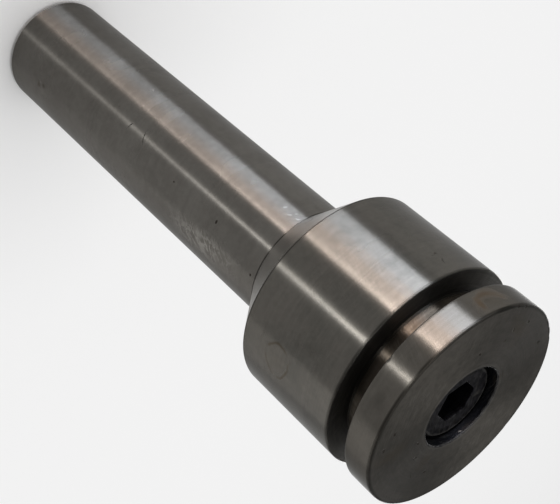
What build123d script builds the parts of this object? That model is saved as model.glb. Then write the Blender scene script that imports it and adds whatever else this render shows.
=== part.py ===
from build123d import *
import math
import os

# Arbor that carries a side milling cutter between its head and a screwed-on cap. Sizes are in mm.
# The origin is the centre of the shank's rear face, and +Z runs along the axis to the cap's front face.

# Shank, ground for a collet or a side-lock chuck
shank_diameter = 20.0
shank_length = 73.2
shank_end_chamfer = 0.8
centre_hole_diameter = 2.5
centre_hole_depth = 6.0
centre_cone_diameter = 5.3
centre_cone_angle = 60.0

# Shoulder and head
shoulder_angle = 45.0
head_length = 18.4
head_edge_chamfer = 0.2

# Pilot that centres the cutter, and the width of the faces that clamp it
pilot_diameter = 27.0
pilot_length = 3.7
pilot_edge_chamfer = 0.2
relief_width = 0.5
relief_depth = 0.2
clamping_face_width = 3.5

# Cap: a flange with a hub that slides in the pilot's recess
flange_thickness = 4.8
flange_edge_chamfer = 0.3
hub_wall = 3.25
hub_web = 3.5
hub_end_chamfer = 0.6
counterbore_clearance = 0.25
counterbore_edge_chamfer = 0.15
screw_hole_clearance = 0.5

# Recess in the pilot that guides the hub
recess_clearance = 0.03
recess_floor_gap = 0.3
recess_mouth_chamfer = 0.4

# Socket head cap screw M8 x 20, its thread drawn as a plain cylinder
screw_diameter = 8.0
screw_length = 20.0
screw_tip_chamfer = 0.9
screw_head_diameter = 13.0
screw_head_height = 8.0
screw_head_chamfer = 0.6
screw_head_sink = 1.24
socket_across_flats = 6.0
socket_depth = 4.0
socket_point_angle = 120.0
socket_turn = 30.0

# Tapped hole for the screw
thread_clearance = 0.05
thread_spare_depth = 5.0
thread_mouth_chamfer = 0.6
drill_point_angle = 118.0

# Radii
shank_radius = shank_diameter / 2
pilot_radius = pilot_diameter / 2
head_radius = pilot_radius + clamping_face_width
screw_radius = screw_diameter / 2
screw_head_radius = screw_head_diameter / 2
screw_hole_radius = screw_radius + screw_hole_clearance
tapped_radius = screw_radius + thread_clearance
socket_radius = socket_across_flats / 2
counterbore_radius = screw_head_radius + counterbore_clearance
hub_radius = counterbore_radius + hub_wall
recess_radius = hub_radius + recess_clearance

# Heights along the axis, from the shank's rear face to the cap's front face
shoulder_length = (head_radius - shank_radius) / math.tan(math.radians(shoulder_angle))
head_rear_z = shank_length + shoulder_length
head_front_z = head_rear_z + head_length
pilot_end_z = head_front_z + pilot_length
cap_front_z = pilot_end_z + flange_thickness
screw_top_z = cap_front_z - screw_head_sink
screw_seat_z = screw_top_z - screw_head_height
screw_tip_z = screw_seat_z - screw_length
socket_floor_z = screw_top_z - socket_depth
hub_end_z = screw_seat_z - hub_web
recess_floor_z = hub_end_z - recess_floor_gap
tapped_floor_z = screw_tip_z - thread_spare_depth


def point_length(radius, full_angle):
    # how far the point of a drill or countersink of this radius reaches past its rim
    return radius / math.tan(math.radians(full_angle / 2))


def turned(points):
    # solid of revolution about Z from the (radius, height) points of a half section
    outline = Polyline(*points, close=True)
    return revolve(Plane.XZ * make_face(outline), Axis.Z)


def shank_shoulder_head():
    # full bar from the rear face to the head's front face
    return turned([
        (0, 0),
        (shank_radius - shank_end_chamfer, 0),
        (shank_radius, shank_end_chamfer),
        (shank_radius, shank_length),
        (head_radius - head_edge_chamfer, head_rear_z - head_edge_chamfer),
        (head_radius, head_rear_z + head_edge_chamfer),
        (head_radius, head_front_z - head_edge_chamfer),
        (head_radius - head_edge_chamfer, head_front_z),
        (0, head_front_z),
    ])


def pilot():
    # short cylinder that centres the cutter, relieved at its base so that the cutter lies flat
    relief_radius = pilot_radius - relief_depth
    return turned([
        (0, head_front_z),
        (relief_radius, head_front_z),
        (relief_radius, head_front_z + relief_width),
        (pilot_radius, head_front_z + relief_width),
        (pilot_radius, pilot_end_z - pilot_edge_chamfer),
        (pilot_radius - pilot_edge_chamfer, pilot_end_z),
        (0, pilot_end_z),
    ])


def centre_hole():
    # turning centre in the rear face: a small drilled hole with a wide countersink
    hole = centre_hole_diameter / 2
    cone = centre_cone_diameter / 2
    cone_depth = point_length(cone, centre_cone_angle) - point_length(hole, centre_cone_angle)
    tip = centre_hole_depth + point_length(hole, drill_point_angle)
    return turned([(0, 0), (cone, 0), (hole, cone_depth), (hole, centre_hole_depth), (0, tip)])


def hub_recess():
    # blind bore through the pilot that guides the cap's hub
    mouth = recess_radius + recess_mouth_chamfer
    return turned([
        (0, recess_floor_z),
        (recess_radius, recess_floor_z),
        (recess_radius, pilot_end_z - recess_mouth_chamfer),
        (mouth, pilot_end_z),
        (0, pilot_end_z),
    ])


def tapped_hole():
    # screw hole in the recess floor, with a drill point at its end
    mouth = tapped_radius + thread_mouth_chamfer
    tip = tapped_floor_z - point_length(tapped_radius, drill_point_angle)
    return turned([
        (0, tip),
        (tapped_radius, tapped_floor_z),
        (tapped_radius, recess_floor_z - thread_mouth_chamfer),
        (mouth, recess_floor_z),
        (0, recess_floor_z),
    ])


def arbor_body():
    return shank_shoulder_head() + pilot() - centre_hole() - hub_recess() - tapped_hole()


def flange_and_hub():
    # flange that clamps the cutter, and the hub behind it
    return turned([
        (0, hub_end_z),
        (hub_radius - hub_end_chamfer, hub_end_z),
        (hub_radius, hub_end_z + hub_end_chamfer),
        (hub_radius, pilot_end_z),
        (head_radius - flange_edge_chamfer, pilot_end_z),
        (head_radius, pilot_end_z + flange_edge_chamfer),
        (head_radius, cap_front_z - flange_edge_chamfer),
        (head_radius - flange_edge_chamfer, cap_front_z),
        (0, cap_front_z),
    ])


def screw_passage():
    # through hole for the screw and the counterbore that sinks its head
    mouth = counterbore_radius + counterbore_edge_chamfer
    return turned([
        (0, hub_end_z),
        (screw_hole_radius, hub_end_z),
        (screw_hole_radius, screw_seat_z),
        (counterbore_radius, screw_seat_z),
        (counterbore_radius, cap_front_z - counterbore_edge_chamfer),
        (mouth, cap_front_z),
        (0, cap_front_z),
    ])


def clamping_cap():
    return flange_and_hub() - screw_passage()


def screw_blank():
    # threaded shank and round head before the socket is formed
    return turned([
        (0, screw_tip_z),
        (screw_radius - screw_tip_chamfer, screw_tip_z),
        (screw_radius, screw_tip_z + screw_tip_chamfer),
        (screw_radius, screw_seat_z),
        (screw_head_radius, screw_seat_z),
        (screw_head_radius, screw_top_z - screw_head_chamfer),
        (screw_head_radius - screw_head_chamfer, screw_top_z),
        (0, screw_top_z),
    ])


def hex_socket():
    # hexagonal key socket that ends in a shallow drilled point
    hexagon = RegularPolygon(socket_radius, 6, major_radius=False, rotation=socket_turn)
    walls = extrude(Pos(0, 0, socket_floor_z) * hexagon, socket_depth)
    tip = socket_floor_z - point_length(socket_radius, socket_point_angle)
    point = turned([(0, tip), (socket_radius, socket_floor_z), (0, socket_floor_z)])
    return walls + point


def cap_screw():
    return screw_blank() - hex_socket()


os.makedirs("parts", exist_ok=True)
export_step(arbor_body(), "parts/arbor_body.step")
export_step(clamping_cap(), "parts/clamping_cap.step")
export_step(cap_screw(), "parts/cap_screw.step")
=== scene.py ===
import bmesh
import bpy
import math
from mathutils import Matrix, Vector


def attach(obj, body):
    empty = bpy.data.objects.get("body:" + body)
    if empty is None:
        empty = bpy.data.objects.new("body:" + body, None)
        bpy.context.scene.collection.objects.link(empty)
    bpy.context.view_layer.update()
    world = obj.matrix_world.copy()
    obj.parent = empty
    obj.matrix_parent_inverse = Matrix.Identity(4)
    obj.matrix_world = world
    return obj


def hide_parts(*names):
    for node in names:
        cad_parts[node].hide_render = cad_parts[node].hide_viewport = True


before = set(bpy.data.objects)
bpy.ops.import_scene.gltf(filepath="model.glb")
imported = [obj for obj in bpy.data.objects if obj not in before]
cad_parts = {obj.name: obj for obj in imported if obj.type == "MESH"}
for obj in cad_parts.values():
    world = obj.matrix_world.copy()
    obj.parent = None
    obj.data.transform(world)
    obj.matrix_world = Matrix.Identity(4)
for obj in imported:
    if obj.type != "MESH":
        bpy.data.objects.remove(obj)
scene = bpy.context.scene
mm = 0.001
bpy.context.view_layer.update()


# camera: the photograph's viewpoint, on the side of -Y and rolled so that the cap is at the lower right

cameraValues = {
    "place": (0.0, -148.42 * mm, 168.34 * mm),
    "forward": (0.003627, 0.828124, -0.560533),
    "up": (-0.750074, -0.368457, -0.549207),
    "sensor": 36.0,
    "lens": 74.61,
    "clipStart": 10 * mm,
    "clipEnd": 20.0,
}


def makeCamera(values):
    data = bpy.data.cameras.new("photoCamera")
    data.sensor_width = values["sensor"]
    data.lens = values["lens"]
    data.clip_start = values["clipStart"]
    data.clip_end = values["clipEnd"]
    camera = bpy.data.objects.new("photoCamera", data)
    forward = Vector(values["forward"]).normalized()
    side = forward.cross(Vector(values["up"])).normalized()
    up = side.cross(forward)
    turn = Matrix((side, up, -forward)).transposed().to_4x4()
    camera.matrix_world = Matrix.Translation(values["place"]) @ turn
    scene.collection.objects.link(camera)
    scene.camera = camera


makeCamera(cameraValues)
print("camera placed")


# mesh tools

meshValues = {
    "cornerSegments": 4,
    "mergeDistance": 0.002,     # mm
    "sharpAngle": 38,           # degrees
    "normalWeight": 100,
}


def sectionEdges(bm, points, rounding):
    # open half section in the XZ plane; rounding gives the radius of each rounded corner by its number
    verts = [bm.verts.new((radius * mm, 0.0, height * mm)) for radius, height in points]
    for start, end in zip(verts, verts[1:]):
        bm.edges.new((start, end))
    for radius in sorted(set(rounding.values())):
        corners = [verts[i] for i, r in rounding.items() if r == radius]
        bmesh.ops.bevel(bm, geom=corners, offset=radius * mm, offset_type="OFFSET",
                        segments=meshValues["cornerSegments"], profile=0.5, affect="VERTICES",
                        clamp_overlap=True, material=-1)


def spinSection(bm, steps):
    bmesh.ops.spin(bm, geom=bm.verts[:] + bm.edges[:], cent=(0, 0, 0), axis=(0, 0, 1), dvec=(0, 0, 0),
                   angle=2 * math.pi, steps=steps, use_merge=True, use_normal_flip=False,
                   use_duplicate=False)
    bmesh.ops.remove_doubles(bm, verts=bm.verts[:], dist=meshValues["mergeDistance"] * mm)
    bmesh.ops.recalc_face_normals(bm, faces=bm.faces[:])


def finishPiece(bm, name, materials, body, node):
    # smooth shading, with the edges of corners that turn by more than sharpAngle kept sharp
    sharp = math.radians(meshValues["sharpAngle"])
    for edge in bm.edges:
        edge.smooth = not (edge.is_manifold and edge.calc_face_angle() > sharp)
    for face in bm.faces:
        face.smooth = True
    mesh = bpy.data.meshes.new(name)
    bm.to_mesh(mesh)
    bm.free()
    piece = bpy.data.objects.new(name, mesh)
    scene.collection.objects.link(piece)
    for material in materials:
        mesh.materials.append(material)
    evenNormals = piece.modifiers.new("evenNormals", "WEIGHTED_NORMAL")
    evenNormals.weight = meshValues["normalWeight"]
    evenNormals.keep_sharp = True
    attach(piece, body)
    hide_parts(node)
    print("made", name, len(mesh.polygons), "faces")
    return piece


# node tools

def put(tree, kind, **settings):
    node = tree.nodes.new(kind)
    for name, value in settings.items():
        setattr(node, name, value)
    return node


def feed(tree, socket, value):
    # an output is linked to the socket, and a plain value is set on it
    if isinstance(value, bpy.types.NodeSocket):
        tree.links.new(value, socket)
    else:
        socket.default_value = value


def calc(tree, operation, *values):
    node = put(tree, "ShaderNodeMath", operation=operation)
    for socket, value in zip(node.inputs, values):
        feed(tree, socket, value)
    return node.outputs[0]


def rise(tree, value, low, high):
    # 0 at low and 1 at high, smooth between; low may be the larger number
    node = put(tree, "ShaderNodeMapRange", interpolation_type="SMOOTHSTEP")
    feed(tree, node.inputs["Value"], value)
    feed(tree, node.inputs["From Min"], low)
    feed(tree, node.inputs["From Max"], high)
    return node.outputs["Result"]


def mixColor(tree, amount, first, second, blend="MIX"):
    # a Mix node has its sockets for colours after those for numbers and vectors
    node = put(tree, "ShaderNodeMix", data_type="RGBA", blend_type=blend)
    feed(tree, node.inputs[0], amount)
    feed(tree, node.inputs[6], first)
    feed(tree, node.inputs[7], second)
    return node.outputs[2]


def vector(tree, x, y, z):
    node = put(tree, "ShaderNodeCombineXYZ")
    for socket, value in zip(node.inputs, (x, y, z)):
        feed(tree, socket, value)
    return node.outputs[0]


def noise(tree, place, scale=1.0, detail=2.0, roughness=0.5):
    node = put(tree, "ShaderNodeTexNoise")
    feed(tree, node.inputs["Vector"], place)
    node.inputs["Scale"].default_value = scale
    node.inputs["Detail"].default_value = detail
    node.inputs["Roughness"].default_value = roughness
    return node.outputs["Fac"]


# sockets of the groups that hold more than a plain number
socketKinds = {"Position": "Vector", "Point": "Vector", "Dark": "Color", "Light": "Color", "Color": "Color"}


def newGroup(name, inputs, outputs):
    group = bpy.data.node_groups.new(name, "ShaderNodeTree")
    for side, labels in (("INPUT", inputs), ("OUTPUT", outputs)):
        for label in labels:
            kind = "NodeSocket" + socketKinds.get(label, "Float")
            group.interface.new_socket(name=label, in_out=side, socket_type=kind)
    given = group.nodes.new("NodeGroupInput").outputs
    result = group.nodes.new("NodeGroupOutput").inputs
    return group, given, result


def useGroup(tree, group, values):
    node = put(tree, "ShaderNodeGroup", node_tree=group)
    for label, value in values.items():
        feed(tree, node.inputs[label], value)
    return node.outputs


# effects that the steel finishes share

def makeRoundPlace():
    # place on the arbor in mm: distance from the axis, height, and angle from the camera's side
    group, given, result = newGroup("roundPlace", ["Position"],
                                    ["Point", "Radius", "Height", "Angle", "X", "Y"])
    grow = put(group, "ShaderNodeVectorMath", operation="SCALE")
    feed(group, grow.inputs[0], given["Position"])
    grow.inputs["Scale"].default_value = 1 / mm
    parts = put(group, "ShaderNodeSeparateXYZ")
    feed(group, parts.inputs[0], grow.outputs[0])
    x, y, z = parts.outputs
    squares = calc(group, "ADD", calc(group, "MULTIPLY", x, x), calc(group, "MULTIPLY", y, y))
    feed(group, result["Point"], grow.outputs[0])
    feed(group, result["Radius"], calc(group, "SQRT", squares))
    feed(group, result["Height"], z)
    feed(group, result["Angle"], calc(group, "ARCTAN2", x, calc(group, "MULTIPLY", y, -1.0)))
    feed(group, result["X"], x)
    feed(group, result["Y"], y)
    return group


def makeTurningMarks():
    # fine rings left by the tool, and broader bands where its feed changed; both drift round the piece
    drift = 0.07            # per mm
    bandsToLine = 0.11
    group, given, result = newGroup("turningMarks", ["Point", "Across", "Pitch"], ["Lines", "Bands"])
    parts = put(group, "ShaderNodeSeparateXYZ")
    feed(group, parts.inputs[0], given["Point"])
    sideways = calc(group, "MULTIPLY", parts.outputs[0], drift)
    deep = calc(group, "MULTIPLY", parts.outputs[1], drift)
    turns = calc(group, "DIVIDE", given["Across"], given["Pitch"])
    fine = noise(group, vector(group, turns, sideways, deep), detail=3.0, roughness=0.65)
    bands = calc(group, "MULTIPLY", turns, bandsToLine)
    broad = noise(group, vector(group, bands, sideways, deep), detail=1.0)
    feed(group, result["Lines"], rise(group, fine, low=0.32, high=0.68))
    feed(group, result["Bands"], rise(group, broad, low=0.35, high=0.65))
    return group


def makeSteelTone():
    # cloudy change of colour from handling and oil
    smallShare = 0.35
    group, given, result = newGroup("steelTone", ["Point", "Dark", "Light"], ["Color"])
    large = noise(group, given["Point"], scale=0.09, detail=3.0)
    small = noise(group, given["Point"], scale=0.7, detail=4.0, roughness=0.6)
    cloud = calc(group, "MULTIPLY_ADD", small, smallShare, calc(group, "MULTIPLY", large, 1 - smallShare))
    cloud = rise(group, cloud, low=0.36, high=0.62)
    feed(group, result["Color"], mixColor(group, cloud, given["Dark"], given["Light"]))
    return group


def makeRustPits():
    # scattered pits, each in a fainter brown halo; Amount is the share of the cells that hold one
    leastRagged, addedRagged = 0.55, 0.9
    leastSize, addedSize = 0.4, 0.8
    group, given, result = newGroup("rustPits", ["Point", "Spacing", "Size", "Amount"], ["Pits", "Halo"])
    shrink = put(group, "ShaderNodeVectorMath", operation="SCALE")
    feed(group, shrink.inputs[0], given["Point"])
    feed(group, shrink.inputs["Scale"], calc(group, "DIVIDE", 1.0, given["Spacing"]))
    cells = put(group, "ShaderNodeTexVoronoi", feature="F1")
    feed(group, cells.inputs["Vector"], shrink.outputs[0])
    cells.inputs["Scale"].default_value = 1.0
    pick = put(group, "ShaderNodeSeparateColor")
    feed(group, pick.inputs[0], cells.outputs["Color"])
    chosen = calc(group, "LESS_THAN", pick.outputs[0], given["Amount"])
    uneven = noise(group, given["Point"], scale=2.5)
    away = calc(group, "MULTIPLY", cells.outputs["Distance"], given["Spacing"])
    away = calc(group, "DIVIDE", away, given["Size"])
    away = calc(group, "DIVIDE", away, calc(group, "MULTIPLY_ADD", pick.outputs[1], addedSize, leastSize))
    away = calc(group, "MULTIPLY", away, calc(group, "MULTIPLY_ADD", uneven, addedRagged, leastRagged))
    feed(group, result["Pits"], calc(group, "MULTIPLY", chosen, rise(group, away, low=1.0, high=0.55)))
    feed(group, result["Halo"], calc(group, "MULTIPLY", chosen, rise(group, away, low=3.2, high=0.9)))
    return group


def makeEdgeWearAndShade():
    # mask along a round edge at a radius and height, for wear and for painted shade along edges and
    # corners, and the same broken up where the wear is uneven
    breaking = 3.0
    group, given, result = newGroup("edgeWearAndShade", ["Point", "Radius", "Height", "Edge Radius", "Edge Height",
                                                 "Width"], ["Mask", "Broken"])
    outward = calc(group, "SUBTRACT", given["Radius"], given["Edge Radius"])
    upward = calc(group, "SUBTRACT", given["Height"], given["Edge Height"])
    squares = calc(group, "MULTIPLY_ADD", outward, outward, calc(group, "MULTIPLY", upward, upward))
    away = calc(group, "DIVIDE", calc(group, "SQRT", squares), given["Width"])
    uneven = noise(group, given["Point"], scale=0.9, detail=4.0, roughness=0.65)
    feed(group, result["Mask"], rise(group, away, low=1.0, high=0.4))
    grown = calc(group, "MULTIPLY_ADD", uneven, -breaking, calc(group, "ADD", away, breaking / 2))
    feed(group, result["Broken"], rise(group, grown, low=1.0, high=0.3))
    return group


def makePlacedMark():
    # one mark: its inside, and its outline when it dried as a ring; Along and Up are in mm on the surface
    outlineAt = 0.9         # share of the way from the middle to the border
    group, given, result = newGroup("placedMark", ["Along", "Up", "Middle Along", "Middle Up", "Half Length",
                                                   "Half Height", "Turn", "Bend", "Ragged", "Line", "Core"],
                                    ["Inside", "Outline"])
    along = calc(group, "SUBTRACT", given["Along"], given["Middle Along"])
    up = calc(group, "SUBTRACT", given["Up"], given["Middle Up"])
    cosine = calc(group, "COSINE", given["Turn"])
    sine = calc(group, "SINE", given["Turn"])
    turned = calc(group, "MULTIPLY_ADD", along, cosine, calc(group, "MULTIPLY", up, sine))
    raised = calc(group, "SUBTRACT", calc(group, "MULTIPLY", up, cosine),
                  calc(group, "MULTIPLY", along, sine))
    curve = calc(group, "MULTIPLY", calc(group, "MULTIPLY", turned, turned), given["Bend"])
    raised = calc(group, "SUBTRACT", raised, curve)
    across = calc(group, "DIVIDE", turned, given["Half Length"])
    high = calc(group, "DIVIDE", raised, given["Half Height"])
    squares = calc(group, "MULTIPLY_ADD", across, across, calc(group, "MULTIPLY", high, high))
    uneven = noise(group, vector(group, across, high, given["Middle Along"]), scale=1.1, detail=4.0,
                   roughness=0.55)
    away = calc(group, "MULTIPLY_ADD", calc(group, "SUBTRACT", uneven, 0.5), given["Ragged"],
                calc(group, "SQRT", squares))
    feed(group, result["Inside"], rise(group, away, low=1.0, high=given["Core"]))
    off = calc(group, "ABSOLUTE", calc(group, "SUBTRACT", away, outlineAt))
    feed(group, result["Outline"], calc(group, "MULTIPLY", rise(group, off, low=given["Line"], high=0.0),
                                        rise(group, uneven, low=0.30, high=0.52)))
    return group


def makeFineScratches():
    # thin hair scratches in one direction, over part of the surface
    stretch = 14.0
    hairSeed, rubbedSeed = 3.0, 7.0
    group, given, result = newGroup("fineScratches", ["Along", "Up", "Turn", "Spacing"], ["Hairs", "Rubbed"])
    cosine = calc(group, "COSINE", given["Turn"])
    sine = calc(group, "SINE", given["Turn"])
    length = calc(group, "MULTIPLY_ADD", given["Along"], cosine, calc(group, "MULTIPLY", given["Up"], sine))
    side = calc(group, "SUBTRACT", calc(group, "MULTIPLY", given["Up"], cosine),
                calc(group, "MULTIPLY", given["Along"], sine))
    side = calc(group, "DIVIDE", side, given["Spacing"])
    length = calc(group, "DIVIDE", length, calc(group, "MULTIPLY", given["Spacing"], stretch))
    hairs = noise(group, vector(group, length, side, hairSeed), roughness=0.7)
    broad = noise(group, vector(group, given["Along"], given["Up"], rubbedSeed), scale=0.11)
    rubbed = rise(group, broad, low=0.34, high=0.76)
    off = calc(group, "ABSOLUTE", calc(group, "SUBTRACT", hairs, 0.5))
    feed(group, result["Hairs"], calc(group, "MULTIPLY", rise(group, off, low=0.035, high=0.008), rubbed))
    feed(group, result["Rubbed"], rubbed)
    return group


def makeRubStrokes():
    # short strokes that curve and cross, where the steel was rubbed at a slant
    lengthScale, sideScale = 0.30, 0.68
    patchLength, patchSide, patchStrength = 0.7, 0.5, 0.55
    strokeSeed, patchSeed = 5.0, 9.0
    group, given, result = newGroup("rubStrokes", ["Along", "Up"], ["Mask"])
    length = calc(group, "MULTIPLY", calc(group, "ADD", given["Along"], given["Up"]), lengthScale)
    side = calc(group, "MULTIPLY", calc(group, "SUBTRACT", given["Up"], given["Along"]), sideScale)
    fine = noise(group, vector(group, length, side, strokeSeed), roughness=0.6)
    off = calc(group, "ABSOLUTE", calc(group, "SUBTRACT", fine, 0.5))
    broad = noise(group, vector(group, calc(group, "MULTIPLY", length, patchLength),
                                calc(group, "MULTIPLY", side, patchSide), patchSeed))
    patches = calc(group, "MULTIPLY", rise(group, broad, low=0.48, high=0.62), patchStrength)
    feed(group, result["Mask"], calc(group, "MAXIMUM", rise(group, off, low=0.07, high=0.02), patches))
    return group


roundPlace = makeRoundPlace()
turningMarks = makeTurningMarks()
steelTone = makeSteelTone()
rustPits = makeRustPits()
edgeWearAndShade = makeEdgeWearAndShade()
placedMark = makePlacedMark()
fineScratches = makeFineScratches()
rubStrokes = makeRubStrokes()
print("effects made")


# steel finishes

steelColors = {
    # colour of bright worn steel, also used once as a painted highlight in the counterbore
    "wornAndGlint": (0.27, 0.26, 0.24, 1),
    "scuff": (0.185, 0.176, 0.158, 1),
    # dark colour of grime and cuts, also used as painted shade and painted dark reflection along edges and
    # corners
    "grimeAndShade": (0.015, 0.014, 0.012, 1),
    "stain": (0.050, 0.038, 0.024, 1),
    "rust": (0.036, 0.025, 0.014, 1),
    "pit": (0.014, 0.011, 0.008, 1),
    "edgeTint": (0.66, 0.66, 0.66, 1),      # dims the glare at grazing angles
}

# each kind of mark: its colour, how far from the middle its full strength reaches, and its added roughness
markKinds = {
    "pit": ("pit", 0.6, 0.3),
    "cut": ("grimeAndShade", 0.5, 0.1),
    "bright": ("wornAndGlint", 0.4, 0.05),
    "scuff": ("scuff", 0.1, 0.12),
    "rub": ("wornAndGlint", -0.2, 0.10),
    "stain": ("stain", 0.0, 0.1),
    "ring": ("stain", 0.5, 0.12),
    "rust": ("rust", 0.1, 0.25),
    "smear": ("grimeAndShade", -0.2, 0.12),
}

steelValues = {
    "reliefDepth": 0.04,        # mm
    "hairSpacing": 0.5,         # mm
    "rubbedRoughness": 0.015,
    "grimeAndShadeRoughness": 0.15,
    "wearRoughness": -0.08,
    "haloRoughness": 0.12,
    "haloStrength": 0.35,
    "ringLine": 0.12,           # width of a ring's line, as a share of its half length
    "dent": -0.45,              # relief of a pit or cut
    "dulling": -0.3,            # what a pit or rust takes from Metallic
    "brushTurn": 0.25,          # draws the highlights out along the axis
}


def newMaterial(name):
    material = bpy.data.materials.new(name)
    material.use_nodes = True
    return material, material.node_tree.nodes["Principled BSDF"]


def edgeMasks(tree, place, radius, height, width):
    return useGroup(tree, edgeWearAndShade, {"Point": place["Point"], "Radius": place["Radius"],
                                     "Height": place["Height"], "Edge Radius": radius,
                                     "Edge Height": height, "Width": width})


def steelFinish(name, v):
    # A turned or ground surface, its marks along "Height" on a barrel or along "Radius" on a face. Each
    # darkened edge (painted shade and dark reflection along an edge or corner, partly grime) or worn edge
    # holds an edge's radius and height, a width and a strength; pits hold spacing, size and share; a mark
    # holds its kind, an angle in degrees with a height on a barrel or a radius on a face, half its length and
    # height, its turn in degrees, its bend, its raggedness and its strength.
    material, shader = newMaterial(name)
    tree = material.node_tree
    where = put(tree, "ShaderNodeTexCoord")
    place = useGroup(tree, roundPlace, {"Position": where.outputs["Object"]})
    point = place["Point"]
    onBarrel = v["across"] == "Height"
    if onBarrel:
        along = calc(tree, "MULTIPLY", place["Angle"], v["girth"])
        up = place["Height"]
    else:
        along = place["X"]
        up = place["Y"]

    tone = useGroup(tree, steelTone, {"Point": point, "Dark": (*v["dark"], 1), "Light": (*v["light"], 1)})
    marks = useGroup(tree, turningMarks, {"Point": point, "Across": place[v["across"]], "Pitch": v["pitch"]})
    color = mixColor(tree, v["lineShade"], tone["Color"], marks["Lines"], "MULTIPLY")
    color = mixColor(tree, v["bandShade"], color, marks["Bands"], "MULTIPLY")
    if "mottle" in v:
        spots = rise(tree, noise(tree, point, scale=1.2, detail=3.0, roughness=0.6), low=0.36, high=0.62)
        color = mixColor(tree, v["mottle"], color, spots, "MULTIPLY")
    rough = calc(tree, "MULTIPLY_ADD", marks["Bands"], v["bandGloss"], v["rough"])
    relief = calc(tree, "MULTIPLY", marks["Lines"], v["lineDepth"])
    metal = None

    hairs = useGroup(tree, fineScratches, {"Along": along, "Up": up, "Turn": v["hairTurn"],
                                           "Spacing": steelValues["hairSpacing"]})
    color = mixColor(tree, calc(tree, "MULTIPLY", hairs["Hairs"], v["hairs"]), color, steelColors["wornAndGlint"])
    rough = calc(tree, "MULTIPLY_ADD", hairs["Rubbed"], steelValues["rubbedRoughness"], rough)

    # painted shade and dark reflection: each edge in this list darkens the colour along an edge or corner,
    # where shade falls or the edge mirrors darkness, partly real grime
    for *edge, strength in v.get("grimeAndShade", []):
        mask = edgeMasks(tree, place, *edge)["Mask"]
        color = mixColor(tree, calc(tree, "MULTIPLY", mask, strength), color, steelColors["grimeAndShade"])
        rough = calc(tree, "MULTIPLY_ADD", mask, steelValues["grimeAndShadeRoughness"] * strength, rough)
    for kind, middle, rank, length, height, turn, bend, ragged, strength in v.get("marks", []):
        angle = math.radians(middle)
        middleAlong = angle * v["girth"] if onBarrel else rank * math.sin(angle)
        middleUp = rank if onBarrel else -rank * math.cos(angle)
        paint, core, addedRoughness = markKinds[kind]
        mark = useGroup(tree, placedMark, {"Along": along, "Up": up, "Middle Along": middleAlong,
                                           "Middle Up": middleUp, "Half Length": length,
                                           "Half Height": height, "Turn": math.radians(turn), "Bend": bend,
                                           "Ragged": ragged, "Line": steelValues["ringLine"], "Core": core})
        mask = calc(tree, "MULTIPLY", mark["Outline" if kind == "ring" else "Inside"], strength)
        if kind == "scuff":
            patches = noise(tree, point, scale=1.1, detail=3.0, roughness=0.6)
            mask = calc(tree, "MULTIPLY", mask, rise(tree, patches, low=0.46, high=0.56))
        if kind == "rub":
            strokes = useGroup(tree, rubStrokes, {"Along": along, "Up": up})
            mask = calc(tree, "MULTIPLY", mask, strokes["Mask"])
        color = mixColor(tree, mask, color, steelColors[paint])
        rough = calc(tree, "MULTIPLY_ADD", mask, addedRoughness, rough)
        if kind in ("pit", "cut"):
            relief = calc(tree, "MULTIPLY_ADD", mask, steelValues["dent"], relief)
        if kind in ("pit", "rust"):
            dull = calc(tree, "MULTIPLY_ADD", mask, steelValues["dulling"], 1.0)
            metal = dull if metal is None else calc(tree, "MULTIPLY", metal, dull)
    if "pits" in v:
        spacing, size, share = v["pits"]
        pits = useGroup(tree, rustPits, {"Point": point, "Spacing": spacing, "Size": size, "Amount": share})
        halo = calc(tree, "MULTIPLY", pits["Halo"], steelValues["haloStrength"])
        color = mixColor(tree, halo, color, steelColors["rust"])
        color = mixColor(tree, pits["Pits"], color, steelColors["pit"])
        rough = calc(tree, "MULTIPLY_ADD", pits["Halo"], steelValues["haloRoughness"], rough)
        relief = calc(tree, "MULTIPLY_ADD", pits["Pits"], steelValues["dent"], relief)
        dull = calc(tree, "MULTIPLY_ADD", pits["Pits"], steelValues["dulling"], 1.0)
        metal = dull if metal is None else calc(tree, "MULTIPLY", metal, dull)
    for *edge, strength in v.get("wear", []):
        mask = calc(tree, "MULTIPLY", edgeMasks(tree, place, *edge)["Broken"], strength)
        color = mixColor(tree, mask, color, steelColors["wornAndGlint"])
        rough = calc(tree, "MULTIPLY_ADD", mask, steelValues["wearRoughness"], rough)

    bump = put(tree, "ShaderNodeBump")
    bump.inputs["Strength"].default_value = 1.0
    bump.inputs["Distance"].default_value = steelValues["reliefDepth"] * mm
    feed(tree, bump.inputs["Height"], relief)
    feed(tree, shader.inputs["Base Color"], color)
    feed(tree, shader.inputs["Roughness"], rough)
    feed(tree, shader.inputs["Normal"], bump.outputs["Normal"])
    if metal is None:
        shader.inputs["Metallic"].default_value = 1.0
    else:
        feed(tree, shader.inputs["Metallic"], metal)
    shader.inputs["Specular Tint"].default_value = v.get("edgeTint", steelColors["edgeTint"])
    shader.inputs["Anisotropic"].default_value = v["anisotropic"]
    shader.inputs["Anisotropic Rotation"].default_value = steelValues["brushTurn"]
    return material


def dressFaces(bm, v, finishes, finishAt):
    # gives each face the finish for its radius and height in mm, and returns the materials
    names = list(finishes)
    for face in bm.faces:
        middle = face.calc_center_median() / mm
        face.material_index = names.index(finishAt(v, math.hypot(middle.x, middle.y), middle.z))
    return [steelFinish(name, values) for name, values in finishes.items()]


# arbor body: shank, shoulder, head and pilot, all turned from one bar

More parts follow.
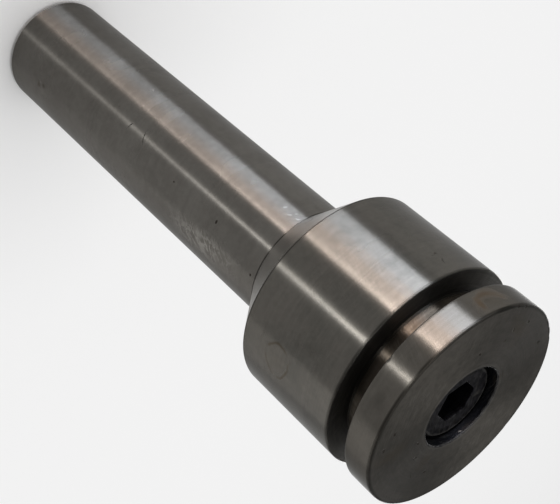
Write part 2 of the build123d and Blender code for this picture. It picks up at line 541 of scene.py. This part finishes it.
arborFinishes = {
    "groundShank": {
        "across": "Height", "girth": 10.0, "dark": (0.105, 0.098, 0.088), "light": (0.123, 0.116, 0.105),
        "pitch": 0.33, "lineShade": 0.06, "bandShade": 0.03, "rough": 0.27, "bandGloss": -0.02,
        "lineDepth": 0.03, "anisotropic": 1.0, "hairTurn": 1.35, "hairs": 0.05,
        "mottle": 0.07,
        "pits": (6.0, 0.22, 0.16),
        # painted shade: darkens the inner corner where the shank meets the shoulder, partly grime
        "grimeAndShade": [(10.0, 73.2, 0.30, 0.7)],
        "wear": [(10.0, 0.8, 0.3, 0.25), (9.2, 0.0, 0.3, 0.25)],
        "marks": [
            ("pit", 21, 61.9, 0.40, 0.26, 0, 0, 0.8, 0.9),
            ("pit", 20, 50.5, 0.22, 0.20, 0, 0, 0.8, 0.9),
            ("pit", 37, 72.0, 0.28, 0.24, 0, 0, 0.8, 0.9),
            ("stain", 52, 62.5, 4.4, 9.5, 0, 0, 1.2, 0.16),
            ("rub", 50, 60.5, 4.2, 11.5, 0, 0, 1.2, 0.60),
            ("bright", -29, 69.2, 0.42, 0.07, -38, 0, 0.3, 0.7),
            ("bright", -26, 70.9, 0.55, 0.07, -48, 0.05, 0.3, 0.7),
            ("bright", -31, 71.4, 0.35, 0.07, -30, 0, 0.3, 0.6),
            ("bright", -28, 72.4, 0.50, 0.08, -55, 0, 0.3, 0.8),
            ("cut", 8, 40.0, 1.7, 0.10, 24, 0.20, 0.2, 0.9),
            ("cut", 8, 36.0, 1.0, 0.09, -18, 0.16, 0.2, 0.8),
            ("scuff", -95, 34.0, 2.2, 9.0, 0, 0, 2.6, 0.28),
            ("scuff", 150, 48.0, 2.4, 7.0, 0, 0, 2.6, 0.28),
            ("cut", 128, 22.0, 2.4, 0.09, 35, 0.08, 0.2, 0.7),
            ("pit", -150, 57.0, 0.34, 0.28, 0, 0, 0.8, 1.0),
            ("stain", -130, 12.0, 3.2, 2.2, 0, 0, 1.8, 0.25),
        ],
    },
    "turnedShoulder": {
        # painted light: a lighter base than the rest of the bar's, so the cone, which mirrors the dim floor
        # near the arbor, comes out brighter
        "across": "Height", "girth": 13.5, "dark": (0.142, 0.134, 0.121), "light": (0.168, 0.158, 0.143),
        "edgeTint": (1.0, 1.0, 1.0, 1),
        "pitch": 0.28, "lineShade": 0.12, "bandShade": 0.05, "rough": 0.30, "bandGloss": -0.03,
        "lineDepth": 0.08, "anisotropic": 0.95, "hairTurn": 0.4, "hairs": 0.12,
        "pits": (5.0, 0.20, 0.15),
        # painted shade in the inner corner at the shank and painted dark reflection on the head's rear edge,
        # partly grime
        "grimeAndShade": [(10.0, 73.2, 0.30, 0.7), (17.0, 80.2, 0.30, 0.6)],
        "wear": [(16.6, 79.8, 0.5, 0.35)],
    },
    "groundHead": {
        "across": "Height", "girth": 17.0, "dark": (0.087, 0.083, 0.074), "light": (0.105, 0.098, 0.087),
        "pitch": 0.36, "lineShade": 0.08, "bandShade": 0.03, "rough": 0.27, "bandGloss": -0.02,
        "lineDepth": 0.03, "anisotropic": 1.0, "hairTurn": 1.2, "hairs": 0.03,
        "mottle": 0.07, "pits": (6.5, 0.20, 0.14),
        # painted dark reflection on the head's rear edge, and darkening along its front edge at the groove,
        # partly grime
        "grimeAndShade": [(17.0, 80.2, 0.28, 0.55), (17.0, 98.6, 0.50, 0.6)],
        "marks": [
            ("pit", -50, 94.2, 0.34, 0.24, 0, 0, 1.0, 0.7),
            ("cut", -49.5, 95.8, 0.75, 0.15, 62, 0.35, 0.7, 0.5),
            ("cut", -47.5, 94.4, 0.40, 0.12, -20, 0.30, 0.7, 0.35),
            ("ring", 45, 87.4, 3.0, 2.5, 12, 0, 0.42, 0.60),
            ("stain", 45, 87.2, 3.4, 3.2, 0, 0, 1.4, 0.14),
            ("smear", 25, 92.0, 3.4, 3.0, 30, 0, 2.4, 0.20),
            ("scuff", 100, 90.0, 4.0, 5.0, 0, 0, 2.4, 0.25),
            ("ring", 160, 91.0, 2.4, 2.0, 0, 0, 0.5, 0.4),
            ("pit", 172, 86.0, 0.36, 0.30, 0, 0, 0.8, 1.0),
            ("scuff", -120, 88.0, 4.4, 4.0, 0, 0, 2.4, 0.25),
        ],
    },
    "clampingFace": {
        # the base is darker than the head's, partly as painted shade of the groove
        "across": "Radius", "dark": (0.049, 0.046, 0.041), "light": (0.068, 0.064, 0.057),
        "pitch": 0.26, "lineShade": 0.30, "bandShade": 0.15, "rough": 0.40, "bandGloss": -0.03,
        "lineDepth": 0.14, "anisotropic": 0.8, "hairTurn": 0.3, "hairs": 0.15,
        "pits": (3.5, 0.20, 0.2),
        # painted shade in the groove's inner corner at the pilot
        "grimeAndShade": [(13.4, 98.6, 0.9, 0.7)],
        "wear": [(17.0, 98.6, 0.24, 0.14)],
    },
    "pilotSteel": {
        # darker, warmer base than the head's: painted shade of the groove, with some warmth of an oil film
        "across": "Height", "girth": 13.5, "dark": (0.031, 0.026, 0.020), "light": (0.046, 0.038, 0.030),
        "pitch": 0.34, "lineShade": 0.16, "bandShade": 0.06, "rough": 0.30, "bandGloss": -0.03,
        "lineDepth": 0.14, "anisotropic": 0.95, "hairTurn": 1.2, "hairs": 0.12,
        "pits": (4.0, 0.18, 0.15),
        # painted shade at the pilot's foot and where it meets the cap's flange
        "grimeAndShade": [(13.4, 98.6, 0.75, 0.9), (13.5, 102.3, 0.4, 0.5)],
    },
    "boredSteel": {
        "across": "Height", "girth": 10.0, "dark": (0.046, 0.042, 0.036), "light": (0.068, 0.063, 0.055),
        "pitch": 0.42, "lineShade": 0.45, "bandShade": 0.20, "rough": 0.42, "bandGloss": -0.04,
        "lineDepth": 0.20, "anisotropic": 0.8, "hairTurn": 1.2, "hairs": 0.2,
        # painted shade in the recess's floor corner
        "grimeAndShade": [(10.03, 94.06, 1.2, 0.8)],
        "wear": [(10.43, 102.3, 0.5, 0.6)],
    },
    "rearFace": {
        "across": "Radius", "dark": (0.068, 0.064, 0.057), "light": (0.097, 0.090, 0.080),
        "pitch": 0.30, "lineShade": 0.35, "bandShade": 0.20, "rough": 0.42, "bandGloss": -0.05,
        "lineDepth": 0.16, "anisotropic": 0.7, "hairTurn": 0.9, "hairs": 0.15,
        "pits": (3.2, 0.20, 0.2),
        "grimeAndShade": [(2.65, 0.0, 0.6, 0.7)],
        "wear": [(9.2, 0.0, 0.4, 0.5)],
        "marks": [
            ("stain", 70, 6.0, 2.0, 1.5, 0, 0, 1.8, 0.35),
            ("cut", -60, 5.5, 1.8, 0.08, 40, 0.05, 0.2, 0.8),
        ],
    },
}

arborValues = {
    "shankRadius": 10.0,
    "shankLength": 73.2,
    "shankChamfer": 0.8,
    "headRadius": 17.0,
    "headRear": 80.2,
    "headFront": 98.6,
    "pilotRadius": 13.5,
    "pilotEnd": 102.3,
    "reliefWidth": 0.5,
    "reliefDepth": 0.2,
    "recessRadius": 10.03,
    "recessFloor": 94.06,
    "recessChamfer": 0.4,
    "tappedRadius": 4.05,
    "tappedFloor": 72.86,
    "tappedMouth": 0.6,
    "drillPoint": 2.43,
    "centreHole": 1.25,
    "centreCone": 2.65,
    "centreConeDepth": 2.42,
    "centreDepth": 6.0,
    "centrePoint": 0.75,
    # radius of each rounded corner, by its number in the section
    "rounding": {4: 0.15, 5: 0.2, 7: 0.22, 8: 0.2, 11: 0.08, 12: 0.2, 13: 0.1, 14: 0.1, 16: 0.08},
    "steps": 288,
    # how far a finish reaches past its corner
    "rearSeam": 0.05,
    "centreSeam": 0.1,
    "shoulderSeam": 0.1,
    "headSeam": 0.15,
    "frontSeam": 0.02,
}


def arborFinishAt(v, radius, height):
    if radius < v["recessRadius"] + v["recessChamfer"] and height > v["tappedFloor"] - v["drillPoint"]:
        return "boredSteel"
    if height < v["rearSeam"] or radius < v["centreCone"] + v["centreSeam"]:
        return "rearFace"
    if height < v["shankLength"]:
        return "groundShank"
    if height < v["headRear"] - v["shoulderSeam"]:
        return "turnedShoulder"
    if radius > v["headRadius"] - v["headSeam"]:
        return "groundHead"
    if height < v["headFront"] + v["frontSeam"]:
        return "clampingFace"
    return "pilotSteel"


def makeArborBody(v, finishes):
    bm = bmesh.new()
    points = [
        (0, v["centreDepth"] + v["centrePoint"]),
        (v["centreHole"], v["centreDepth"]),
        (v["centreHole"], v["centreConeDepth"]),
        (v["centreCone"], 0),
        (v["shankRadius"] - v["shankChamfer"], 0),
        (v["shankRadius"], v["shankChamfer"]),
        (v["shankRadius"], v["shankLength"]),
        (v["headRadius"], v["headRear"]),
        (v["headRadius"], v["headFront"]),
        (v["pilotRadius"] - v["reliefDepth"], v["headFront"]),
        (v["pilotRadius"] - v["reliefDepth"], v["headFront"] + v["reliefWidth"]),
        (v["pilotRadius"], v["headFront"] + v["reliefWidth"]),
        (v["pilotRadius"], v["pilotEnd"]),
        (v["recessRadius"] + v["recessChamfer"], v["pilotEnd"]),
        (v["recessRadius"], v["pilotEnd"] - v["recessChamfer"]),
        (v["recessRadius"], v["recessFloor"]),
        (v["tappedRadius"] + v["tappedMouth"], v["recessFloor"]),
        (v["tappedRadius"], v["recessFloor"] - v["tappedMouth"]),
        (v["tappedRadius"], v["tappedFloor"]),
        (0, v["tappedFloor"] - v["drillPoint"]),
    ]
    sectionEdges(bm, points, v["rounding"])
    spinSection(bm, v["steps"])
    materials = dressFaces(bm, v, finishes, arborFinishAt)
    return finishPiece(bm, "arborBody", materials, "arbor", "arbor_body")


arborBody = makeArborBody(arborValues, arborFinishes)


# clamping cap: flange, hub and counterbore

capFinishes = {
    "capRim": {
        "across": "Height", "girth": 17.0, "dark": (0.070, 0.065, 0.057), "light": (0.088, 0.081, 0.071),
        "edgeTint": (0.56, 0.56, 0.56, 1),
        "pitch": 0.34, "lineShade": 0.08, "bandShade": 0.03, "rough": 0.25, "bandGloss": -0.02,
        "lineDepth": 0.03, "anisotropic": 0.92, "hairTurn": 1.2, "hairs": 0.05,
        "pits": (5.0, 0.18, 0.14),
        "wear": [(17.0, 102.3, 0.24, 0.08)],
        # painted dark reflection: darkens the rounded front edge so that it keeps no bright highlight
        "grimeAndShade": [(17.0, 107.1, 0.60, 0.8)],
        "marks": [
            ("rust", -49, 103.5, 4.2, 1.25, 0, 0.15, 1.3, 0.85),
            ("rust", -42, 105.0, 2.0, 0.85, 78, 0.05, 1.3, 0.85),
            ("rust", -56, 104.9, 1.3, 0.7, -50, 0, 1.3, 0.60),
            ("stain", -48, 104.8, 4.6, 2.6, 0, 0, 1.4, 0.30),
            ("stain", -75, 105.0, 3.4, 2.0, 0, 0, 1.6, 0.25),
            # painted dark reflection along the front edge here, partly grime and a dent
            ("cut", -51, 106.96, 2.1, 0.20, 0, 0, 0.6, 1.0),
            ("smear", 20, 104.6, 3.0, 1.6, 0, 0, 2.0, 0.2),
            ("rust", 140, 104.2, 1.6, 0.9, 20, 0, 1.4, 0.5),
            ("stain", 140, 104.4, 3.6, 2.0, 0, 0, 1.6, 0.25),
        ],
    },
    "capFront": {
        "across": "Radius", "dark": (0.056, 0.052, 0.045), "light": (0.078, 0.072, 0.063),
        "pitch": 0.26, "lineShade": 0.16, "bandShade": 0.10, "rough": 0.44, "bandGloss": -0.03,
        "lineDepth": 0.05, "anisotropic": 0.55, "hairTurn": 0.7, "hairs": 0.10,
        "mottle": 0.16,
        "pits": (2.6, 0.17, 0.10),
        "wear": [(7.1, 107.1, 0.3, 0.08)],
        # darkens round the counterbore's mouth, and paints dark reflection on the rounded front edge
        "grimeAndShade": [(6.75, 106.95, 0.45, 0.6), (17.0, 107.1, 0.60, 0.8)],
        "marks": [
            ("pit", -109, 14.5, 0.36, 0.50, 0, 0, 1.1, 1.0),
            ("pit", -80, 14.6, 0.26, 0.42, 10, 0, 1.1, 1.0),
            ("pit", -70, 12.9, 0.48, 0.24, 57, 0, 1.1, 1.0),
            ("pit", -42, 9.9, 0.28, 0.42, 0, 0, 1.1, 1.0),
            ("pit", 38, 13.6, 0.30, 0.44, -12, 0, 1.1, 1.0),
            ("pit", 48, 14.8, 0.50, 0.30, 66, 0, 1.1, 1.0),
            ("pit", 67, 8.3, 0.24, 0.36, 0, 0, 1.1, 1.0),
            ("pit", 86, 9.4, 0.28, 0.40, 20, 0, 1.1, 1.0),
            ("pit", 116, 11.4, 0.32, 0.44, 0, 0, 1.1, 1.0),
            # painted dark reflection along the front edge here, partly grime and a dent
            ("cut", -51, 16.84, 2.3, 0.36, -51, 0.03, 0.6, 1.0),
            ("pit", -61, 16.8, 0.30, 0.36, 0, 0, 0.9, 1.0),
            ("pit", -67, 16.7, 0.30, 0.42, 0, 0, 0.9, 0.9),
            ("stain", -113, 7.15, 1.8, 0.22, 67, -0.07, 0.6, 0.5),
            ("rust", -110, 7.65, 1.3, 0.15, 70, -0.07, 0.8, 0.4),
            ("stain", -75, 13.2, 4.6, 2.8, 70, 0, 1.6, 0.40),
            ("stain", 55, 13.6, 4.4, 2.4, -40, 0, 1.6, 0.36),
            ("stain", 105, 9.4, 2.4, 1.6, 20, 0, 1.6, 0.36),
            ("smear", 160, 13.0, 4.0, 2.6, 0, 0, 2.0, 0.30),
            ("cut", -30, 12.5, 1.6, 0.07, 20, 0.06, 0.2, 0.7),
            ("cut", 100, 12.0, 1.1, 0.07, 70, 0.06, 0.2, 0.7),
        ],
    },
    "capBack": {
        "across": "Radius", "dark": (0.058, 0.055, 0.048), "light": (0.085, 0.078, 0.069),
        "pitch": 0.26, "lineShade": 0.30, "bandShade": 0.15, "rough": 0.40, "bandGloss": -0.04,
        "lineDepth": 0.14, "anisotropic": 0.8, "hairTurn": 0.7, "hairs": 0.15,
        "pits": (4.0, 0.18, 0.14),
        # painted shade in the inner corner between hub and flange
        "grimeAndShade": [(10.0, 102.3, 0.7, 0.8)],
        "wear": [(17.0, 102.3, 0.24, 0.14)],
    },
    "hubSteel": {
        "across": "Height", "girth": 10.0, "dark": (0.075, 0.070, 0.063), "light": (0.101, 0.094, 0.085),
        "pitch": 0.28, "lineShade": 0.20, "bandShade": 0.12, "rough": 0.36, "bandGloss": -0.03,
        "lineDepth": 0.12, "anisotropic": 1.0, "hairTurn": 1.3, "hairs": 0.15,
        "pits": (5.0, 0.16, 0.12),
        # painted shade in the inner corner between hub and flange
        "grimeAndShade": [(10.0, 102.3, 0.6, 0.8)],
        "wear": [(9.7, 94.66, 0.7, 0.6)],
    },
    "counterbore": {
        # painted shade: a very dark, bluish base, so the recess stays dark and shows few glints
        "across": "Height", "girth": 6.75, "dark": (0.010, 0.011, 0.014), "light": (0.018, 0.019, 0.023),
        "pitch": 0.40, "lineShade": 0.50, "bandShade": 0.25, "rough": 0.58, "bandGloss": -0.05,
        "lineDepth": 0.25, "anisotropic": 0.25, "hairTurn": 0.3, "hairs": 0.2,
        "wear": [(6.8, 107.0, 0.25, 0.12)],
        "marks": [
            ("stain", -118, 106.5, 2.0, 0.5, 0, 0, 1.2, 0.25),
            ("stain", 165, 106.6, 1.8, 0.4, 0, 0, 1.4, 0.15),
            # painted highlight: a bright spot standing in for a glint on the counterbore's wall
            ("bright", 156, 106.6, 0.40, 0.14, 20, 0, 1.0, 0.5),
        ],
    },
}

capValues = {
    "flangeRadius": 17.0,
    "flangeBack": 102.3,
    "front": 107.1,
    "hubRadius": 10.0,
    "hubEnd": 94.36,
    "hubChamfer": 0.6,
    "holeRadius": 4.5,
    "counterbore": 6.75,
    "counterChamfer": 0.12,
    "seat": 97.86,
    # radius of each rounded corner, by its number in the section
    "rounding": {1: 0.1, 2: 0.1, 4: 0.26, 7: 0.24, 8: 0.06, 9: 0.06, 11: 0.1},
    "steps": 360,
    # how far a finish reaches past its corner
    "frontSeam": 0.12,
    "boreSeam": 0.2,
    "rimSeam": 0.2,
    "hubSeam": 0.05,
    "knockReach": 0.5,
    "knockInside": 0.6,     # how far in from the rim a knock can reach
    # knocks on the flange's edges: angle, height, width in degrees and depth
    "knocks": [
        (4.5, 102.3, 1.6, 0.15), (-104.0, 107.1, 1.8, 0.08), (-112.0, 107.1, 2.4, 0.10),
        (-96.0, 107.1, 1.4, 0.06), (62.0, 107.1, 2.0, 0.05), (-52.0, 107.1, 1.8, 0.05),
        (150.0, 102.3, 2.4, 0.12), (188.0, 107.1, 2.0, 0.07),
    ],
}


def capFinishAt(v, radius, height):
    inBore = radius < v["counterbore"] + v["boreSeam"]
    if height > v["front"] - v["frontSeam"] and not inBore:
        return "capFront"
    if inBore:
        return "counterbore"
    if radius > v["flangeRadius"] - v["rimSeam"]:
        return "capRim"
    if radius > v["hubRadius"] + v["hubSeam"]:
        return "capBack"
    return "hubSteel"


def knockEdge(bm, v, angle, height, width, depth):
    # pushes the edge in around one place, deepest in the middle
    for vert in bm.verts:
        place = vert.co / mm
        off = (math.degrees(math.atan2(place.x, -place.y)) - angle + 180) % 360 - 180
        lift = abs(place.z - height) / v["knockReach"]
        inside = math.hypot(place.x, place.y) < v["flangeRadius"] - v["knockInside"]
        if abs(off) > width or lift > 1 or inside:
            continue
        push = depth * (1 - (off / width) ** 2) * (1 - lift)
        inward = Vector((-place.x, -place.y, 0)).normalized()
        vert.co += inward * push * mm


def makeClampingCap(v, finishes):
    bm = bmesh.new()
    points = [
        (v["holeRadius"], v["hubEnd"]),
        (v["hubRadius"] - v["hubChamfer"], v["hubEnd"]),
        (v["hubRadius"], v["hubEnd"] + v["hubChamfer"]),
        (v["hubRadius"], v["flangeBack"]),
        (v["flangeRadius"], v["flangeBack"]),
        (v["flangeRadius"], v["flangeBack"] + v["knockReach"]),
        (v["flangeRadius"], v["front"] - v["knockReach"]),
        (v["flangeRadius"], v["front"]),
        (v["counterbore"] + v["counterChamfer"], v["front"]),
        (v["counterbore"], v["front"] - v["counterChamfer"]),
        (v["counterbore"], v["seat"]),
        (v["holeRadius"], v["seat"]),
        (v["holeRadius"], v["hubEnd"]),
    ]
    sectionEdges(bm, points, v["rounding"])
    spinSection(bm, v["steps"])
    materials = dressFaces(bm, v, finishes, capFinishAt)
    for knock in v["knocks"]:
        knockEdge(bm, v, *knock)
    return finishPiece(bm, "clampingCap", materials, "cap", "clamping_cap")


clampingCap = makeClampingCap(capValues, capFinishes)


# cap screw: knurled socket head and thread

screwFinishes = {
    "blackenedHead": {
        "across": "Height", "girth": 6.5, "dark": (0.020, 0.020, 0.022), "light": (0.032, 0.031, 0.031),
        "pitch": 0.5, "lineShade": 0.2, "bandShade": 0.2, "rough": 0.45, "bandGloss": -0.05,
        "lineDepth": 0.1, "anisotropic": 0.0, "hairTurn": 1.2, "hairs": 0.25,
        "pits": (1.8, 0.16, 0.3),
        "wear": [(6.2, 105.7, 0.4, 0.12)],
    },
    "blackenedFace": {
        "across": "Radius", "dark": (0.010, 0.010, 0.013), "light": (0.031, 0.030, 0.034),
        "pitch": 0.24, "lineShade": 0.35, "bandShade": 0.2, "rough": 0.46, "bandGloss": -0.06,
        "lineDepth": 0.08, "anisotropic": 0.2, "hairTurn": 0.9, "hairs": 0.20,
        "mottle": 0.75,
        "pits": (1.5, 0.14, 0.3),
        "wear": [(5.9, 105.86, 0.4, 0.15)],
        "marks": [
            ("scuff", 20, 4.6, 1.8, 0.9, 30, 0, 2.4, 0.26),
            ("scuff", -140, 4.7, 1.2, 0.6, -30, 0, 2.4, 0.20),
            ("scuff", -95, 4.9, 0.9, 0.5, 70, 0, 2.4, 0.20),
            ("smear", 60, 4.7, 1.3, 0.8, 20, 0, 2.0, 0.7),
            ("smear", -60, 4.8, 1.1, 0.7, -50, 0, 2.0, 0.7),
            ("smear", 150, 4.6, 1.0, 0.7, 10, 0, 2.0, 0.6),
            ("cut", 95, 4.7, 0.9, 0.06, 60, 0.1, 0.2, 0.8),
        ],
    },
    "blackenedSocket": {
        "across": "Height", "girth": 3.0, "dark": (0.016, 0.016, 0.019), "light": (0.028, 0.027, 0.031),
        "pitch": 0.5, "lineShade": 0.2, "bandShade": 0.2, "rough": 0.55, "bandGloss": -0.05,
        "lineDepth": 0.05, "anisotropic": 0.0, "hairTurn": 1.2, "hairs": 0.10,
        "mottle": 0.4,
    },
    "blackenedThread": {
        "across": "Height", "girth": 4.0, "dark": (0.022, 0.022, 0.023), "light": (0.036, 0.033, 0.031),
        "pitch": 0.3, "lineShade": 0.2, "bandShade": 0.2, "rough": 0.42, "bandGloss": -0.05,
        "lineDepth": 0.05, "anisotropic": 0.3, "hairTurn": 0.0, "hairs": 0.12,
        "pits": (1.6, 0.12, 0.2),
    },
}

screwValues = {
    "top": 105.86,
    "headRadius": 6.5,
    "headRound": 0.6,
    "knurlTop": 104.9,
    "knurlEnd": 98.5,
    "knurlDepth": 0.14,
    "seat": 97.86,
    "socketFlats": 6.0,
    "socketTurn": 30.0,
    "socketFloor": 101.86,
    "socketPoint": 1.73,
    "socketBreak": 0.06,
    "drillRadius": 2.98,    # of the point at the socket's floor
    "neckRadius": 3.95,
    "neckEnd": 96.8,
    "neckTaper": 0.5,
    "coreRadius": 3.38,
    "tip": 77.86,
    "tipChamfer": 0.5,
    "crestRadius": 3.96,
    "pitch": 1.25,
    "ridgeFoot": 0.92,      # widths of the ridge, as shares of the pitch
    "ridgeCrest": 0.14,
    "ridgeRoot": 0.1,       # how deep the ridge stands in the core
    "threadStart": 78.9,
    "threadTurns": 14,
    "threadSteps": 48,
    # radius of each rounded corner, by its number in the section
    "rounding": {1: 0.5, 4: 0.1, 5: 0.1},
    "sides": 144,
    "near": 0.01,
    "socketReach": 3.6,     # radius within which a face belongs to the socket
    # how far a finish reaches past its corner
    "mouthSeam": 0.1,
    "faceSeam": 0.25,
    "seatSeam": 0.2,
}


def screwFinishAt(v, radius, height):
    socketTip = v["socketFloor"] - v["socketPoint"]
    if radius < v["socketReach"] and socketTip < height < v["top"] - v["mouthSeam"]:
        return "blackenedSocket"
    if height > v["top"] - v["faceSeam"]:
        return "blackenedFace"
    return "blackenedHead" if height > v["seat"] - v["seatSeam"] else "blackenedThread"


def makeKnurl(bm, v):
    # every second column of the head's wall goes in
    shrink = 1 - v["knurlDepth"] / v["headRadius"]
    for vert in bm.verts:
        place = vert.co / mm
        knurled = v["knurlEnd"] - v["near"] < place.z < v["knurlTop"] + v["near"]
        onWall = math.hypot(place.x, place.y) > v["headRadius"] - v["near"]
        column = round(math.degrees(math.atan2(place.y, place.x)) / (360 / v["sides"]))
        if knurled and onWall and column % 2:
            bmesh.ops.scale(bm, vec=(shrink, shrink, 1), verts=[vert])


def makeSocket(bm, v):
    # rings go in from the head's rim: mouth, broken edge, walls, and a drilled point
    flat = v["socketFlats"] / 2
    sixth = 360 / 6
    rings = [(flat + v["socketBreak"], v["top"], True), (flat, v["top"] - v["socketBreak"], True),
             (flat, v["socketFloor"], True), (v["drillRadius"], v["socketFloor"], False)]
    edges = [edge for edge in bm.edges if edge.is_boundary]
    for reach, height, sixSided in rings:
        grown = bmesh.ops.extrude_edge_only(bm, edges=edges)["geom"]
        edges = [item for item in grown if isinstance(item, bmesh.types.BMEdge)]
        for vert in [item for item in grown if isinstance(item, bmesh.types.BMVert)]:
            off = math.degrees(math.atan2(vert.co.y, vert.co.x)) - v["socketTurn"]
            stretch = math.cos(math.radians(off % sixth - sixth / 2)) if sixSided else 1.0
            resize = reach * mm / stretch / vert.co.to_2d().length
            bmesh.ops.scale(bm, vec=(resize, resize, 1), verts=[vert])
            vert.co.z = height * mm
    grown = bmesh.ops.extrude_edge_only(bm, edges=edges)["geom"]
    tip = [item for item in grown if isinstance(item, bmesh.types.BMVert)]
    bmesh.ops.pointmerge(bm, verts=tip, merge_co=(0, 0, (v["socketFloor"] - v["socketPoint"]) * mm))


def makeThread(bm, v):
    # closed ridge that winds up the core
    foot = v["pitch"] / 2 * v["ridgeFoot"]
    crest = v["pitch"] / 2 * v["ridgeCrest"]
    root = v["coreRadius"] - v["ridgeRoot"]
    section = [(root, -foot), (v["crestRadius"], -crest), (v["crestRadius"], crest), (root, foot)]
    corners = [bm.verts.new((radius * mm, 0, (v["threadStart"] + height) * mm)) for radius, height in section]
    face = bm.faces.new(corners)
    bmesh.ops.spin(bm, geom=[face], cent=(0, 0, 0), axis=(0, 0, 1),
                   dvec=(0, 0, v["pitch"] / v["threadSteps"] * mm), angle=2 * math.pi * v["threadTurns"],
                   steps=v["threadSteps"] * v["threadTurns"], use_merge=False, use_normal_flip=False,
                   use_duplicate=False)


def makeCapScrew(v, finishes):
    bm = bmesh.new()
    points = [
        (v["headRadius"] - v["headRound"], v["top"]),
        (v["headRadius"], v["top"] - v["headRound"]),
        (v["headRadius"], v["knurlTop"]),
        (v["headRadius"], v["knurlEnd"]),
        (v["headRadius"], v["seat"]),
        (v["neckRadius"], v["seat"]),
        (v["neckRadius"], v["neckEnd"]),
        (v["coreRadius"], v["neckEnd"] - v["neckTaper"]),
        (v["coreRadius"], v["tip"] + v["tipChamfer"]),
        (v["coreRadius"] - v["tipChamfer"], v["tip"]),
        (0, v["tip"]),
    ]
    sectionEdges(bm, points, v["rounding"])
    spinSection(bm, v["sides"])
    makeKnurl(bm, v)
    makeSocket(bm, v)
    makeThread(bm, v)
    bmesh.ops.recalc_face_normals(bm, faces=bm.faces[:])
    materials = dressFaces(bm, v, finishes, screwFinishAt)
    return finishPiece(bm, "capScrew", materials, "screw", "cap_screw")


capScrew = makeCapScrew(screwValues, screwFinishes)


# stage and light

stageValues = {
    "floorSize": 6.0,
    "floorColor": (0.97, 0.97, 0.97),
    "floorRoughness": 0.9,
    "worldColor": (0.43, 0.43, 0.43),
    "topPlace": (0.0, 0.12, 1.1),
    "topFacing": (0.0, 0.1, 1.0),
    "topSize": 0.9,
    "topPower": 7.3,
    # upright panels round the arbor: azimuth, distance, lower and upper end, width, power and colour;
    # azimuth 0 is the camera's side and turns positive towards +X
    "panels": {
        "keyPanel": (-32.2, 0.32, 0.005, 0.17, 0.0706, 0.77, (1.0, 0.87, 0.83)),
        "middlePanel": (-43.0, 0.32, 0.005, 0.17, 0.050, 0.55, (0.97, 0.94, 1.0)),
        "sidePanel": (-55.7, 0.32, 0.005, 0.17, 0.0923, 1.20, (0.80, 0.87, 1.0)),
        "edgePanel": (-23.9, 0.315, 0.005, 0.17, 0.0255, 0.50, (1.0, 0.88, 0.83)),
        "linePanel": (12.4, 0.32, 0.005, 0.17, 0.019, 0.36, (1.0, 1.0, 1.0)),
        "rightFillPanel": (88.0, 0.40, 0.005, 0.19, 0.28, 0.40, (1.0, 1.0, 1.0)),
        "leftFillPanel": (-98.0, 0.40, 0.005, 0.19, 0.33, 0.28, (1.0, 1.0, 1.0)),
        "backKeyPanel": (206.0, 0.32, 0.005, 0.17, 0.10, 0.48, (1.0, 1.0, 1.0)),
        "backLinePanel": (158.0, 0.32, 0.005, 0.17, 0.03, 0.22, (1.0, 1.0, 1.0)),
        "rightBackPanel": (126.0, 1.1, 0.02, 0.62, 0.36, 1.1, (1.0, 1.0, 1.0)),
        "leftBackPanel": (232.0, 1.1, 0.02, 0.62, 0.20, 0.75, (1.0, 1.0, 1.0)),
    },
}


def makeFloor(values):
    bm = bmesh.new()
    bmesh.ops.create_grid(bm, x_segments=1, y_segments=1, size=values["floorSize"] / 2)
    mesh = bpy.data.meshes.new("floor")
    bm.to_mesh(mesh)
    bm.free()
    floor = bpy.data.objects.new("floor", mesh)
    scene.collection.objects.link(floor)
    material, shader = newMaterial("paleFloor")
    shader.inputs["Base Color"].default_value = (*values["floorColor"], 1)
    shader.inputs["Roughness"].default_value = values["floorRoughness"]
    mesh.materials.append(material)


def makeWorld(values):
    world = bpy.data.worlds.new("studio")
    world.use_nodes = True
    world.node_tree.nodes["Background"].inputs["Color"].default_value = (*values["worldColor"], 1)
    scene.world = world


def makeLamp(name, place, away, width, height, power, color=(1, 1, 1)):
    # an area lamp whose back looks along away
    data = bpy.data.lights.new(name, "AREA")
    data.shape = "RECTANGLE"
    data.size = width
    data.size_y = height
    data.energy = power
    data.color = color
    lamp = bpy.data.objects.new(name, data)
    lamp.location = place
    lamp.rotation_euler = away.to_track_quat("Z", "Y").to_euler()
    lamp.visible_camera = False
    scene.collection.objects.link(lamp)
    return lamp


def makeTopPanel(values):
    makeLamp("topPanel", Vector(values["topPlace"]), Vector(values["topFacing"]), values["topSize"],
             values["topSize"], values["topPower"])


def makePanels(values, pieces):
    # the upright panels light the arbor alone, so that the floor stays even
    litPieces = bpy.data.collections.new("litPieces")
    for piece in pieces:
        litPieces.objects.link(piece)
    for name, (azimuth, distance, low, high, width, power, color) in values["panels"].items():
        turn = math.radians(azimuth)
        away = Vector((math.sin(turn), -math.cos(turn), 0))
        place = away * distance + Vector((0, 0, (low + high) / 2))
        panel = makeLamp(name, place, away, width, high - low, power, color)
        panel.light_linking.receiver_collection = litPieces


makeFloor(stageValues)
makeWorld(stageValues)
makeTopPanel(stageValues)
makePanels(stageValues, [arborBody, clampingCap, capScrew])
print("stage and lights placed")

scene.view_settings.view_transform = "Standard"
